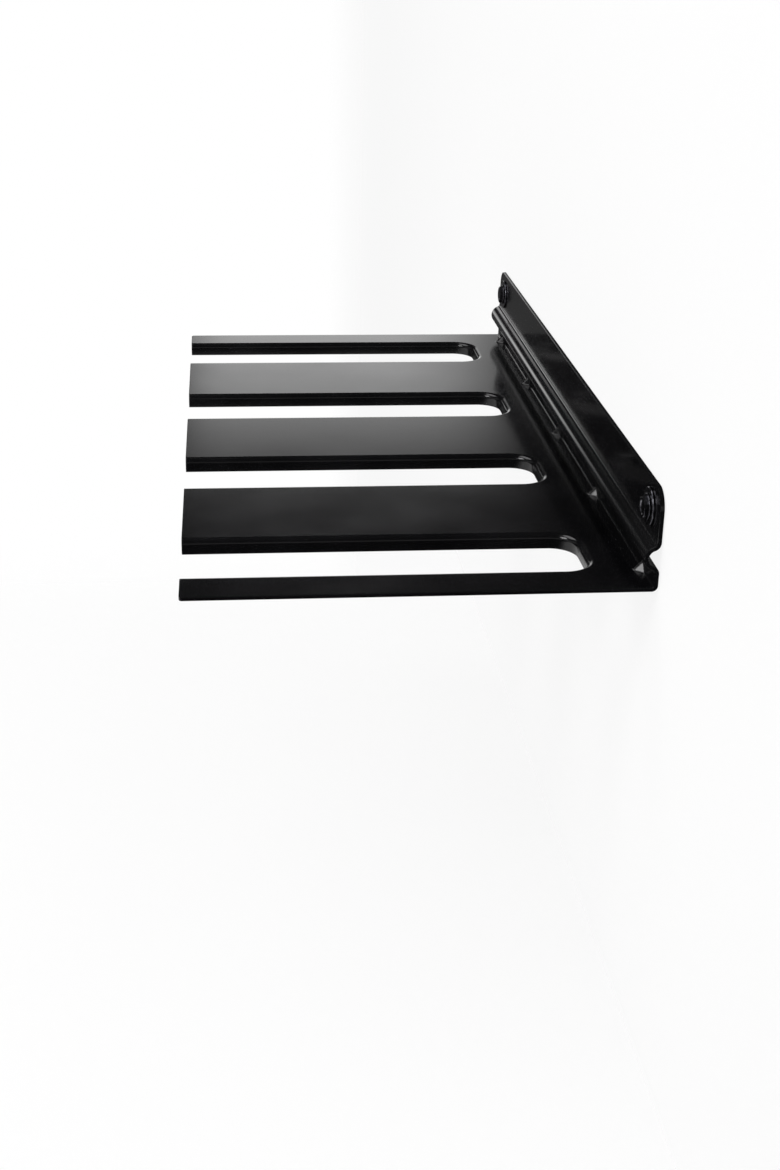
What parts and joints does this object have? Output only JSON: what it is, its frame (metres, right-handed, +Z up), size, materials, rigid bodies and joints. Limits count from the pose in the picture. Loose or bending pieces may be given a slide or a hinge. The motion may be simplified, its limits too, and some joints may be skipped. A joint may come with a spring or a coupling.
{
  "type": "wall mounted power tool organizer",
  "caption": "Bent sheet-steel wall shelf with open-front slots that hold pistol-grip power tools by their handles, fixed by a screw and washer at each end of its upper flange.",
  "frame": {"origin": "on the wall's face, midway between the two screws", "axes": "+X along the rack, to the right for someone facing the wall; +Y into the wall; +Z up"},
  "size_m": [0.442, 0.2517, 0.052],
  "materials": {
    "rack_coat": "glossy black powder coat",
    "screw_steel": "black oxide",
    "washer_steel": "black oxide"
  },
  "bodies": {
    "root": {"rack": "rack_coat", "screw_left": "screw_steel", "screw_right": "screw_steel", "washer_left": "washer_steel", "washer_right": "washer_steel"}
  },
  "joints": []
}
